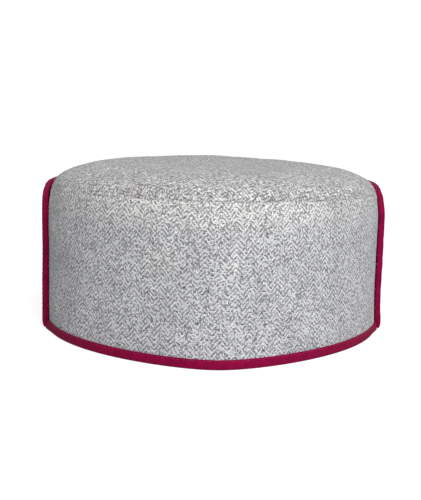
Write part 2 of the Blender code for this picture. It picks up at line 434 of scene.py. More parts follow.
class Wiring:
    """Short calls that add joined nodes to a node tree."""

    def __init__(self, tree):
        self.tree = tree

    def node(self, kind, inputs=(), **settings_of_node):
        made = self.tree.nodes.new(kind)
        for key, value in settings_of_node.items():
            setattr(made, key, value)
        for socket, value in dict(inputs).items():
            self.feed(made.inputs[socket], value)
        return made

    def feed(self, socket, value):
        if isinstance(value, bpy.types.NodeSocket):
            self.tree.links.new(value, socket)
        elif value is not None:
            socket.default_value = value

    def math(self, operation, first, second=None, third=None, clamp=False):
        made = self.tree.nodes.new("ShaderNodeMath")
        made.operation = operation
        made.use_clamp = clamp
        for socket, value in zip(made.inputs, (first, second, third)):
            self.feed(socket, value)
        return made.outputs[0]

    def mix(self, factor, first, second, blend="MIX"):
        made = self.tree.nodes.new("ShaderNodeMix")
        made.data_type = "RGBA"
        made.blend_type = blend
        self.feed(made.inputs[0], factor)
        self.feed(made.inputs[6], first)
        self.feed(made.inputs[7], second)
        return made.outputs[2]

    def blend(self, factor, first, second):
        made = self.tree.nodes.new("ShaderNodeMix")
        made.data_type = "FLOAT"
        self.feed(made.inputs[0], factor)
        self.feed(made.inputs[2], first)
        self.feed(made.inputs[3], second)
        return made.outputs[0]

    def ramp(self, value, low, high, start=0.0, end=1.0):
        """Value moved smoothly from low..high to start..end."""
        made = self.tree.nodes.new("ShaderNodeMapRange")
        made.interpolation_type = "SMOOTHSTEP"
        for socket, number in zip(made.inputs, (value, low, high, start, end)):
            self.feed(socket, number)
        return made.outputs[0]

    def cloud(self, place, scale, detail=2.0, roughness=0.5):
        made = self.tree.nodes.new("ShaderNodeTexNoise")
        made.noise_dimensions = "3D"
        self.feed(made.inputs["Vector"], place)
        self.feed(made.inputs["Scale"], scale)
        self.feed(made.inputs["Detail"], detail)
        self.feed(made.inputs["Roughness"], roughness)
        return made.outputs["Fac"]

    def shift(self, place, way):
        return self.node("ShaderNodeVectorMath", {0: place, 1: way}).outputs[0]

    def grey(self, value):
        return self.node("ShaderNodeCombineColor", {0: value, 1: value, 2: value}).outputs[0]

    def dice(self, first, second):
        """A random share for each pair of whole numbers."""
        place = self.node("ShaderNodeCombineXYZ", {0: first, 1: second}).outputs[0]
        return self.node("ShaderNodeTexWhiteNoise", {0: place}, noise_dimensions="2D").outputs["Value"]


def node_group(name, inputs, outputs):
    """An empty shader node group with these sockets, and the nodes that hold them."""
    group = bpy.data.node_groups.new(name, "ShaderNodeTree")
    kinds = {"float": "NodeSocketFloat", "colour": "NodeSocketColor", "vector": "NodeSocketVector"}
    for label, kind, default in inputs:
        socket = group.interface.new_socket(label, in_out="INPUT", socket_type=kinds[kind])
        if default is not None:
            socket.default_value = default
    for label, kind in outputs:
        group.interface.new_socket(label, in_out="OUTPUT", socket_type=kinds[kind])
    return group, group.nodes.new("NodeGroupInput"), group.nodes.new("NodeGroupOutput")


def herringbone_group():
    """Two-up two-down twill whose slant turns round at each column of upright yarns."""
    look = settings().tweed
    group, given, out = node_group(
        "herringbone_tweed",
        (
            ("Cloth", "vector", None),
            ("Warp", "float", look.warp),
            ("Weft", "float", look.weft),
            ("Column", "float", float(look.column)),
            ("Light", "colour", (*look.light_yarn, 1.0)),
            ("Grey", "colour", (*look.grey_yarn, 1.0)),
            ("Dark", "colour", (*look.dark_yarn, 1.0)),
            ("Speckle", "float", 1.0),
            ("Mottle", "float", 0.3),
        ),
        (("Color", "colour"), ("Height", "float"), ("Roughness", "float")),
    )
    wire = Wiring(group)
    cloth_place = given.outputs["Cloth"]
    drift = wire.cloud(cloth_place, 420.0, 1.0)
    slide = wire.cloud(wire.shift(cloth_place, (7.0, 3.0, 0.0)), 300.0)
    apart = wire.node("ShaderNodeSeparateXYZ", {0: cloth_place})
    along = wire.math("MULTIPLY_ADD", wire.math("SUBTRACT", drift, 0.5), 0.0010, apart.outputs[0])
    up = wire.math("MULTIPLY_ADD", wire.math("SUBTRACT", slide, 0.5), 0.0016, apart.outputs[1])
    upright = wire.math("DIVIDE", along, given.outputs["Warp"])
    level = wire.math("DIVIDE", up, given.outputs["Weft"])
    upright_count = wire.math("FLOOR", upright)
    level_count = wire.math("FLOOR", level)
    zigzag = wire.math("PINGPONG", wire.math("ADD", upright_count, 0.5), given.outputs["Column"])
    step = wire.math("FLOOR", zigzag)
    turn = wire.math("FLOORED_MODULO", wire.math("ADD", step, level), 4.0)
    stepped = wire.math("ADD", step, level_count)
    warp_up = wire.math("LESS_THAN", wire.math("FLOORED_MODULO", stepped, 4.0), 2.0)
    across_warp = wire.math("MULTIPLY_ADD", wire.math("FRACT", upright), 2.0, -1.0)
    across_weft = wire.math("MULTIPLY_ADD", wire.math("FRACT", level), 2.0, -1.0)
    warp_round = wire.math("SUBTRACT", 1.0, wire.math("POWER", wire.math("ABSOLUTE", across_warp), 2.5))
    weft_round = wire.math("SUBTRACT", 1.0, wire.math("POWER", wire.math("ABSOLUTE", across_weft), 2.5))
    from_middle = wire.math("ABSOLUTE", wire.math("SUBTRACT", turn, 1.0))
    warp_dive = wire.ramp(from_middle, 1.05, 0.45)
    warp_height = wire.math("MULTIPLY", warp_round, wire.math("MULTIPLY_ADD", warp_dive, 0.55, 0.45))
    weft_height = wire.math("MULTIPLY", weft_round, 0.72)
    height = wire.blend(warp_up, weft_height, warp_height)

    # Each bit of yarn that shows has its own share of light, grey and dark wool
    warp_bit = wire.math("FLOOR", wire.math("DIVIDE", stepped, 4.0))
    weft_bit = wire.math("FLOOR", wire.math("DIVIDE", wire.math("ADD", upright_count, level_count), 2.0))
    bit_lot = wire.dice(
        wire.blend(warp_up, wire.math("ADD", level_count, 0.37), upright_count),
        wire.blend(warp_up, weft_bit, warp_bit),
    )
    slub = wire.cloud(cloth_place, 2100.0, 2.0, 0.7)
    wool = wire.cloud(wire.shift(cloth_place, (0.0, 9.0, 0.0)), 1700.0, 3.0, 0.8)
    patch = wire.cloud(cloth_place, 60.0, 2.0)
    cloudy = wire.math("MULTIPLY_ADD", wire.math("SUBTRACT", wool, 0.5), 1.9, bit_lot)
    mixed = wire.math("MULTIPLY_ADD", wire.math("SUBTRACT", cloudy, 0.5), given.outputs["Speckle"], 0.5)
    warp_grey = wire.ramp(mixed, 0.35, 0.02)
    weft_light = wire.ramp(mixed, 0.60, 0.95)
    warp_colour = wire.mix(warp_grey, given.outputs["Light"], given.outputs["Grey"])
    weft_colour = wire.mix(weft_light, given.outputs["Grey"], given.outputs["Light"])
    colour = wire.mix(warp_up, weft_colour, warp_colour)
    dark_share = wire.math("MULTIPLY", wire.ramp(mixed, 0.22, -0.10), wire.blend(warp_up, 0.95, 0.65))
    colour = wire.mix(dark_share, colour, given.outputs["Dark"])
    # Painted shade: the weave is darker where its yarns dip, by its height; the patch, slub and mottle factors below
    # then vary the tone at random.
    tone = wire.math("MULTIPLY_ADD", height, 0.42, 0.70)
    tone = wire.math("MULTIPLY", tone, wire.ramp(patch, 0.3, 0.7, 0.93, 1.07))
    tone = wire.math("MULTIPLY", tone, wire.ramp(slub, 0.25, 0.75, 0.44, 1.56))
    mottle = wire.cloud(wire.shift(cloth_place, (3.0, 0.0, 0.0)), 420.0, 3.0, 0.8)
    mottle = wire.math("MULTIPLY", wire.math("SUBTRACT", mottle, 0.5), given.outputs["Mottle"])
    tone = wire.math("MULTIPLY", tone, wire.math("ADD", mottle, 1.0))
    colour = wire.mix(1.0, colour, wire.grey(tone), "MULTIPLY")

    fleck_place = wire.node(
        "ShaderNodeMapping", {"Vector": cloth_place, "Scale": (0.8, 1.0, 1.0)}
    ).outputs[0]
    cells = wire.node(
        "ShaderNodeTexVoronoi", {"Vector": fleck_place, "Scale": 1350.0, "Randomness": 1.0}
    )
    lot = wire.node("ShaderNodeSeparateColor", {0: cells.outputs["Color"]})
    near = wire.ramp(cells.outputs["Distance"], 0.48, 0.25)
    dark = wire.math("MULTIPLY", near, wire.math("GREATER_THAN", lot.outputs[0], 0.87))
    olive = wire.math("MULTIPLY", near, wire.math("GREATER_THAN", lot.outputs[1], 0.95))
    white = wire.math("MULTIPLY", near, wire.math("GREATER_THAN", lot.outputs[2], 0.91))
    colour = wire.mix(wire.math("MULTIPLY", dark, 0.92), colour, given.outputs["Dark"])
    colour = wire.mix(wire.math("MULTIPLY", olive, 0.50), colour, (0.30, 0.27, 0.12, 1.0))
    colour = wire.mix(wire.math("MULTIPLY", white, 0.75), colour, (0.93, 0.92, 0.92, 1.0))

    wire.feed(out.inputs["Color"], colour)
    lumps = wire.math("MULTIPLY_ADD", slub, 0.7, wire.math("MULTIPLY", white, 0.4))
    wire.feed(out.inputs["Height"], wire.math("ADD", height, lumps))
    wire.feed(out.inputs["Roughness"], wire.ramp(height, 0.0, 1.0, 1.0, 0.86))
    return group


def group_node(wire, group, inputs):
    made = wire.node("ShaderNodeGroup", node_tree=group)
    for label, value in inputs.items():
        wire.feed(made.inputs[label], value)
    return made


def new_material(name):
    """A material with its Principled shader, and the cloth's own coordinates."""
    material = bpy.data.materials.new(name)
    material.use_nodes = True
    wire = Wiring(material.node_tree)
    shader = material.node_tree.nodes["Principled BSDF"]
    place = wire.node("ShaderNodeUVMap", uv_map="cloth").outputs[0]
    return material, wire, shader, place


def bump(wire, height, distance, strength):
    return wire.node(
        "ShaderNodeBump", {"Height": height, "Distance": distance, "Strength": strength}
    ).outputs[0]


def shared(name, build):
    """The node group of this name, built once."""
    found = bpy.data.node_groups.get(name)
    return found if found else build()


def tweed_material(name, tint, patch_and_highlight_tint, weave_depth, mottle, highlight_from, highlight_to):
    """Herringbone tweed in a given tint, mixed towards a second tint in random patches, and from one height of the
    cloth to the other as a painted highlight.
    """
    material, wire, shader, place = new_material(name)
    weave = group_node(wire, shared("herringbone_tweed", herringbone_group), {"Cloth": place, "Mottle": mottle})
    apart = wire.node("ShaderNodeSeparateXYZ", {0: place})
    patch = wire.cloud(wire.shift(place, (5.0, 0.0, 0.0)), 45.0, 2.0)
    # Painted highlight: from the given height up, the cloth takes the second tint, which on the wall is brighter, for
    # light on its upturned shoulder; random patches take it too.
    patch_and_highlight = wire.math("ADD", wire.ramp(apart.outputs[1], highlight_from, highlight_to), wire.ramp(patch, 0.56, 0.75), clamp=True)
    mixed_tint = wire.mix(patch_and_highlight, (*tint, 1.0), (*patch_and_highlight_tint, 1.0))
    colour = wire.mix(1.0, weave.outputs["Color"], mixed_tint, "MULTIPLY")
    wire.feed(shader.inputs["Base Color"], colour)
    wire.feed(shader.inputs["Roughness"], weave.outputs["Roughness"])
    wire.feed(shader.inputs["Normal"], bump(wire, weave.outputs["Height"], 0.00035, weave_depth))
    shader.inputs["Specular IOR Level"].default_value = 0.2
    shader.inputs["Sheen Weight"].default_value = 0.18
    shader.inputs["Sheen Roughness"].default_value = 0.6
    return material


def plain_weave_group():
    """Fine plain weave, turned by an angle, for the bias tape."""
    group, given, out = node_group(
        "fine_plain_weave",
        (
            ("Cloth", "vector", None),
            ("Spacing", "float", 0.00038),
            ("Angle", "float", math.radians(45)),
        ),
        (("Height", "float"), ("Mottle", "float")),
    )
    wire = Wiring(group)
    turned = wire.node(
        "ShaderNodeVectorRotate",
        {"Vector": given.outputs["Cloth"], "Angle": given.outputs["Angle"]},
        rotation_type="Z_AXIS",
    ).outputs[0]
    apart = wire.node("ShaderNodeSeparateXYZ", {0: turned})
    first = wire.math("DIVIDE", apart.outputs[0], given.outputs["Spacing"])
    second = wire.math("DIVIDE", apart.outputs[1], given.outputs["Spacing"])
    rounds = []
    for value in (first, second):
        middle = wire.math("MULTIPLY_ADD", wire.math("FRACT", value), 2.0, -1.0)
        rounds.append(wire.math("SUBTRACT", 1.0, wire.math("POWER", wire.math("ABSOLUTE", middle), 2.0)))
    both = wire.math("ADD", wire.math("FLOOR", first), wire.math("FLOOR", second))
    over = wire.math("FLOORED_MODULO", both, 2.0)
    wire.feed(out.inputs["Height"], wire.blend(over, rounds[0], rounds[1]))
    wire.feed(out.inputs["Mottle"], wire.cloud(given.outputs["Cloth"], 260.0, 3.0, 0.6))
    return group


def tape_material(name, colour):
    """Maroon bias tape: a fine weave on the slant, with random deeper patches and painted shade between its threads.
    """
    material, wire, shader, place = new_material(name)
    weave = group_node(wire, shared("fine_plain_weave", plain_weave_group), {"Cloth": place})
    deep = tuple(channel * 0.70 for channel in colour)
    tint = wire.mix(wire.ramp(weave.outputs["Mottle"], 0.30, 0.70), (*deep, 1.0), (*colour, 1.0))
    # Painted shade: the tape is darker where the weave dips between its threads.
    thread = wire.math("MULTIPLY_ADD", weave.outputs["Height"], 0.28, 0.80)
    wire.feed(shader.inputs["Base Color"], wire.mix(1.0, tint, wire.grey(thread), "MULTIPLY"))
    wire.feed(shader.inputs["Roughness"], wire.ramp(weave.outputs["Mottle"], 0.2, 0.8, 0.50, 0.68))
    wire.feed(shader.inputs["Normal"], bump(wire, weave.outputs["Height"], 0.00012, 0.6))
    shader.inputs["Specular IOR Level"].default_value = 0.07
    shader.inputs["Specular Tint"].default_value = (1.0, 0.35, 0.50, 1.0)
    shader.inputs["Sheen Weight"].default_value = 0.05
    shader.inputs["Sheen Roughness"].default_value = 0.4
    shader.inputs["Sheen Tint"].default_value = (0.95, 0.10, 0.30, 1.0)
    return material


def velvet_material(name, colour):
    """Maroon velvet: short pile with soft crushed patches."""
    material, wire, shader, place = new_material(name)
    pile = wire.cloud(place, 2600.0, 2.0, 0.7)
    crush = wire.cloud(place, 110.0, 4.0, 0.6)
    bright = tuple(min(channel * 1.25 + 0.001, 1.0) for channel in colour)
    tint = wire.mix(wire.ramp(crush, 0.35, 0.68), (*colour, 1.0), (*bright, 1.0))
    grain = wire.ramp(pile, 0.25, 0.75, 0.72, 1.15)
    wire.feed(shader.inputs["Base Color"], wire.mix(1.0, tint, wire.grey(grain), "MULTIPLY"))
    wire.feed(shader.inputs["Roughness"], wire.ramp(crush, 0.3, 0.7, 0.95, 0.88))
    relief = wire.math("MULTIPLY_ADD", crush, 1.0, pile)
    wire.feed(shader.inputs["Normal"], bump(wire, relief, 0.0003, 0.5))
    shader.inputs["Specular IOR Level"].default_value = 0.15
    shader.inputs["Sheen Weight"].default_value = 1.0
    shader.inputs["Sheen Roughness"].default_value = 0.30
    shader.inputs["Sheen Tint"].default_value = (0.85, 0.12, 0.28, 1.0)
    return material


def thread_material(name, colour):
    """Twisted sewing thread."""
    material = bpy.data.materials.new(name)
    material.use_nodes = True
    wire = Wiring(material.node_tree)
    shader = material.node_tree.nodes["Principled BSDF"]
    place = wire.node("ShaderNodeTexCoord").outputs["Object"]
    twist = wire.node(
        "ShaderNodeTexWave", {"Vector": place, "Scale": 900.0, "Distortion": 1.5}, bands_direction="DIAGONAL"
    ).outputs["Fac"]
    # Painted shade: the thread is darker in the grooves of its twist, where the bump sinks.
    deep = tuple(channel * 0.55 for channel in colour)
    wire.feed(shader.inputs["Base Color"], wire.mix(twist, (*deep, 1.0), (*colour, 1.0)))
    wire.feed(shader.inputs["Roughness"], wire.ramp(twist, 0.0, 1.0, 0.65, 0.45))
    wire.feed(shader.inputs["Normal"], bump(wire, twist, 0.00008, 0.5))
    return material


def seam_inset(angle):
    """How far the crown seam stands inside the hem at an angle."""
    shape = settings().shape
    return shape.side_seam_inset + (shape.seam_inset - shape.side_seam_inset) * math.cos(angle) ** 2


def bulge(angle, share):
    """How far the wall stands out from its plain form."""
    turned = math.degrees(math.remainder(angle, 2 * math.pi))
    outset = 0.0
    for at_angle, at_share, spread, spread_share, depth in WALL_BULGES:
        away = (turned - at_angle) / spread
        away_share = (share - at_share) / spread_share
        outset += depth * math.exp(-away ** 2 - away_share ** 2)
    return outset


def wall_point(angle, share):
    """Point of the wall's outer face, at a share of the way from its foot to the crown seam."""
    outset = bulge(angle, share) - seam_inset(angle) * read_section(WALL_SECTION, share)
    x, y = plan(angle, 0.0)
    z = WALL_FOOT + share * (seam_height(angle) - WALL_FOOT)
    free = math.sin(math.pi * min(max(share, 0.0), 1.0)) ** 0.5
    outset += free * 0.00055 * ripple(x, y, z, 0.034, 3.0)
    outset += free * 0.00022 * ripple(x, y, z, 0.011, 9.0)
    seam_roll = math.exp(-((share - 0.972) / 0.014) ** 2)
    outset += 0.00025 * seam_roll
    x, y = plan(angle, outset)
    return x, y, z


def crown_point(angle, out):
    """Point of the crown's outer face, at a share of the way from its middle to its rim."""
    shape = settings().shape
    rim_x, rim_y = plan(angle, bulge(angle, 1.0) - seam_inset(angle))
    x = out * rim_x
    y = HEM_MIDDLE + out * (rim_y - HEM_MIDDLE)
    rise = read_section(CROWN_SECTION, out)
    for dent_x, dent_y, spread_x, spread_y, depth in CROWN_DENTS:
        away_x = (x / HALF_WIDTH - dent_x) / spread_x
        away_y = (y / HALF_LENGTH - dent_y) / spread_y
        rise -= depth * (1 - out ** 6) * math.exp(-away_x ** 2 - away_y ** 2)
    z = seam_height(angle, out) + shape.seam_gap + shape.crown_rise * rise
    free = 1 - out ** 8
    z += free * 0.0007 * ripple(x, y, 0.0, 0.040, 5.0)
    z += free * 0.0003 * ripple(x, y, 0.0, 0.013, 12.0)
    return x, y, z


def make_crown_cloth(material):
    outs = steps(0.0, 0.88, 44) + steps(0.884, 1.0, 22)
    side = [(out, read_section(CROWN_SECTION, out) * settings().shape.crown_rise / HALF_WIDTH) for out in outs]
    lengths = dict(zip(outs, arc_lengths(side)))

    def pattern(angle, out):
        x, y = plan(angle, -seam_inset(angle))
        stretch = lengths[out]
        return 0.3 + x * stretch, 0.3 + (y - HEM_MIDDLE) * stretch

    angles = steps(-math.pi, math.pi, 300)
    thickness = settings().shape.wall_cloth
    return cloth("crown_cloth", angles, outs[::-1], crown_point, pattern, thickness, material)


def make_wall_cloth(material):
    shape = settings().shape
    angles = steps(-math.pi, math.pi, 420)
    rounds = dict(zip(angles, arc_lengths([plan(angle, 0.0) for angle in angles])))
    shares = steps(0.0, 0.70, 30) + steps(0.72, 1.0, 28)
    rise = (shape.back_height + shape.left_height) / 2 - WALL_FOOT
    side = [(share * rise, shape.seam_inset * read_section(WALL_SECTION, share)) for share in shares]
    lengths = dict(zip(shares, arc_lengths(side)))

    def pattern(angle, share):
        return rounds[angle], lengths[share] * (seam_height(angle) - WALL_FOOT) / rise

    return cloth("wall_cloth", angles, shares, wall_point, pattern, shape.wall_cloth, material)


def flap_height(angle):
    """Height of the flap's cloth edge; it is lowest in the middle of the front."""
    shape = settings().shape
    side = math.cos(shape.flap_end)
    share = (side - math.cos(angle)) / (side + 1)
    return shape.flap_side_height + share * (shape.flap_front_height - shape.flap_side_height)


def flap_edge_height(angle, from_end):
    """Height of the flap's edge, this far along it from its nearer end."""
    shape = settings().shape
    short = max(1 - from_end / shape.flap_corner_length, 0.0)
    return flap_height(angle) - shape.flap_corner_height * (1 - math.sqrt(1 - short ** 2))


def corner_distance(turn):
    """Distance from the flap's end of a point on its rounded corner; turn goes from 0 to 90 degrees."""
    return settings().shape.flap_corner_length * (1 - math.cos(turn))


def flap_ease(angle, height):
    """Outset that the flap gains from the wall behind it, and its own soft unevenness."""
    shape = settings().shape
    share = (height - WALL_FOOT) / (seam_height(angle) - WALL_FOOT)
    share = min(max(share, 0.0), 1.0)
    lean = shape.side_seam_inset * read_section(WALL_SECTION, share)
    x, y = plan(angle, 0.0)
    ease = 0.0004 * ripple(x, y, height, 0.030, 21.0) * min(share * 4, 1.0)
    front = max(-math.cos(angle), 0.0)
    return max(bulge(angle, share), 0.0) - lean + ease + 0.0016 * front * share ** 2


def make_flap_cloth(material):
    shape = settings().shape
    face = shape.flap_gap + shape.flap_cloth
    turns = steps(0.0, math.pi / 2, 8)
    fold = [
        (face - shape.flap_fold * (1 - math.sin(turn)), shape.flap_fold * (1 - math.cos(turn)))
        for turn in turns
    ]
    rows = [(-shape.wall_cloth, 0.0, 0.0)] + [(outset, height, 0.0) for outset, height in fold]
    rows += [(face, shape.flap_fold, rise) for rise in steps(0.0, 1.0, 44)[1:]]
    corner = [corner_distance(turn) for turn in steps(0.0, math.pi / 2, 16)[:-1]]
    start = angle_along(shape.flap_end, shape.flap_corner_length)
    first = [(angle_along(shape.flap_end, distance), distance) for distance in corner]
    middle = [(angle, shape.flap_corner_length) for angle in steps(start, 2 * math.pi - start, 180)]
    last = [(2 * math.pi - angle, distance) for angle, distance in reversed(first)]
    columns = first + middle + last
    rounds = dict(zip(columns, arc_lengths([plan(angle, 0.0) for angle, distance in columns])))

    def place(column, row):
        angle, from_end = column
        outset, height, rise = row
        z = height + rise * (flap_edge_height(angle, from_end) - height)
        x, y = plan(angle, outset + flap_ease(angle, z))
        return x, y, z

    def pattern(column, row):
        outset, height, rise = row
        return rounds[column], outset + height + rise * (flap_edge_height(*column) - height)

    return cloth("flap_cloth", columns, rows, place, pattern, shape.flap_cloth, material)


def tape_section(cloth_thickness, past_edge):
    """Outer face of a tape folded over an edge, as reach past the edge and offset from its middle."""
    shape = settings().shape
    side = cloth_thickness / 2 + shape.clearance + shape.tape_cloth
    fold = shape.tape_fold
    face = past_edge - shape.tape_face
    upright = [(reach, side) for reach in steps(face, past_edge - fold, 7)]
    bend = [
        (past_edge - fold * (1 - math.sin(turn)), side - fold * (1 - math.cos(turn)))
        for turn in steps(0.0, math.pi / 2, 4)[1:]
    ]
    half = upright + bend
    return half + [(reach, -offset) for reach, offset in reversed(half)]


def pucker(along, reach, past_edge):
    """How far the tape's face swells between stitches; least along its stitched edge."""
    depth = min(max((reach - past_edge + settings().shape.tape_face) / 0.0022, 0.0), 1.0)
    swell = 0.00012 * math.sin(along / 0.0031 + 2.0 * ripple(along, 0.0, 0.0, 0.02, 4.0))
    return depth * (swell + 0.00016 * ripple(along, reach, 0.0, 0.006, 8.0))


def make_hem_tape(material):
    shape = settings().shape
    reach = angle_along(shape.flap_end, -2 * shape.clearance - shape.tape_cloth)
    angles = steps(-reach, reach, 250)
    rounds = dict(zip(angles, arc_lengths([plan(angle, 0.0) for angle in angles])))
    section = tape_section(shape.wall_cloth, WALL_FOOT)
    widths = dict(zip(section, arc_lengths(section)))

    half_length = rounds[angles[-1]] / 2
    side = shape.wall_cloth / 2 + shape.clearance + shape.tape_cloth

    def place(angle, spot):
        past_edge, offset = spot
        swell = pucker(rounds[angle], past_edge, WALL_FOOT) if past_edge < 0 else 0.0
        outset = offset - shape.wall_cloth / 2 + math.copysign(swell, offset)
        from_end = half_length - abs(rounds[angle] - half_length)
        flare = shape.corner_flare * math.exp(-(from_end / 0.007) ** 2)
        low = min(max((past_edge - WALL_FOOT + shape.tape_face) / shape.tape_face, 0.0), 1.0)
        outset += flare * max(offset / side + 0.4, 0.0) / 1.4 * (0.25 + 0.75 * low)
        x, y = plan(angle, outset)
        return x, y, WALL_FOOT - past_edge

    def pattern(angle, spot):
        return rounds[angle], widths[spot]

    return cloth("hem_tape", angles, section[::-1], place, pattern, shape.tape_cloth, material)


def flap_edge_path():
    """The flap's edge from its right end, round its top to its left end.

    Each stop is an angle, a height, an outset, the way out of the cloth's edge as shares
    round the hem and upwards, and how far the cloth has turned up there.
    """
    shape = settings().shape
    face = shape.flap_gap + shape.flap_cloth / 2
    radius = shape.flap_fold - shape.flap_cloth / 2
    upright = math.pi / 2
    stops = []
    for turn in steps(math.radians(48), upright, 5)[:-1]:
        height = shape.flap_fold - radius * math.cos(turn)
        outset = face - radius * (1 - math.sin(turn))
        stops.append((shape.flap_end, height, outset, -1.0, 0.0, turn))
    shoulder = flap_edge_height(shape.flap_end, 0.0)
    for height in steps(shape.flap_fold, shoulder, 44)[:-1]:
        stops.append((shape.flap_end, height, face, -1.0, 0.0, upright))
    for turn in steps(0.0, math.pi / 2, 32):
        from_end = corner_distance(turn)
        angle = angle_along(shape.flap_end, from_end)
        height = flap_edge_height(angle, from_end)
        round_share = -shape.flap_corner_height * math.cos(turn)
        up_share = shape.flap_corner_length * math.sin(turn)
        whole = math.hypot(round_share, up_share)
        stops.append((angle, height, face, round_share / whole, up_share / whole, upright))
    start = stops[-1][0]
    top = [
        (angle, flap_height(angle), face, 0.0, 1.0, upright)
        for angle in steps(start, 2 * math.pi - start, 200)[1:-1]
    ]
    left = [(2 * math.pi - stop[0], *stop[1:3], -stop[3], *stop[4:]) for stop in reversed(stops)]
    return stops + top + left


def edge_spot(stop, reach, offset):
    """Point on the tape round the flap's edge."""
    angle, height, outset, round_share, up_share, turn = stop
    z = height + reach * up_share - offset * math.cos(turn)
    at_angle = angle_along(angle, reach * round_share)
    outset += offset * math.sin(turn) + flap_ease(at_angle, z)
    x, y = plan(at_angle, outset)
    return x, y, z


def make_flap_tape(material):
    shape = settings().shape
    stops = flap_edge_path()
    past_edge = shape.clearance + shape.tape_cloth
    section = tape_section(shape.flap_cloth, past_edge)
    rounds = dict(zip(stops, arc_lengths([edge_spot(stop, 0.0, 0.0) for stop in stops])))
    widths = dict(zip(section, arc_lengths(section)))

    def place(stop, spot):
        reach, offset = spot
        swell = pucker(rounds[stop], reach, past_edge) if offset else 0.0
        return edge_spot(stop, reach, offset + math.copysign(swell, offset))

    def pattern(stop, spot):
        return rounds[stop], widths[spot]

    return cloth("flap_tape", stops, section, place, pattern, shape.tape_cloth, material)


def stitch_tree():
    """Geometry nodes that lay separate stitches along a line."""
    look = settings().maroon
    tree = bpy.data.node_groups.new("stitches_along_line", "GeometryNodeTree")
    tree.interface.new_socket("Line", in_out="INPUT", socket_type="NodeSocketGeometry")
    for label, default in (
        ("Stitch length", look.stitch_length),
        ("Stitch pitch", look.stitch_pitch),
        ("Thread radius", look.thread_radius),
    ):
        tree.interface.new_socket(label, in_out="INPUT", socket_type="NodeSocketFloat").default_value = default
    tree.interface.new_socket("Thread", in_out="INPUT", socket_type="NodeSocketMaterial")
    tree.interface.new_socket("Stitches", in_out="OUTPUT", socket_type="NodeSocketGeometry")
    wire = Wiring(tree)
    given = tree.nodes.new("NodeGroupInput")
    out = tree.nodes.new("NodeGroupOutput")
    line = wire.node("GeometryNodeMeshToCurve", {"Mesh": given.outputs["Line"]})
    spots = wire.node(
        "GeometryNodeCurveToPoints",
        {"Curve": line.outputs[0], "Length": given.outputs["Stitch pitch"]},
        mode="LENGTH",
    )
    bead = wire.node("GeometryNodeMeshUVSphere", {"Segments": 6, "Rings": 5, "Radius": 1.0})
    half = wire.math("MULTIPLY", given.outputs["Stitch length"], 0.5)
    thread = given.outputs["Thread radius"]
    size = wire.node("ShaderNodeCombineXYZ", {0: thread, 1: thread, 2: half}).outputs[0]
    turned = wire.node(
        "FunctionNodeAlignRotationToVector", {"Vector": spots.outputs["Tangent"]}, axis="Z"
    )
    laid = wire.node(
        "GeometryNodeInstanceOnPoints",
        {
            "Points": spots.outputs["Points"],
            "Instance": bead.outputs["Mesh"],
            "Rotation": turned.outputs[0],
            "Scale": size,
        },
    )
    real = wire.node("GeometryNodeRealizeInstances", {"Geometry": laid.outputs[0]})
    painted = wire.node(
        "GeometryNodeSetMaterial", {"Geometry": real.outputs[0], "Material": given.outputs["Thread"]}
    )
    wire.feed(out.inputs[0], painted.outputs[0])
    return tree


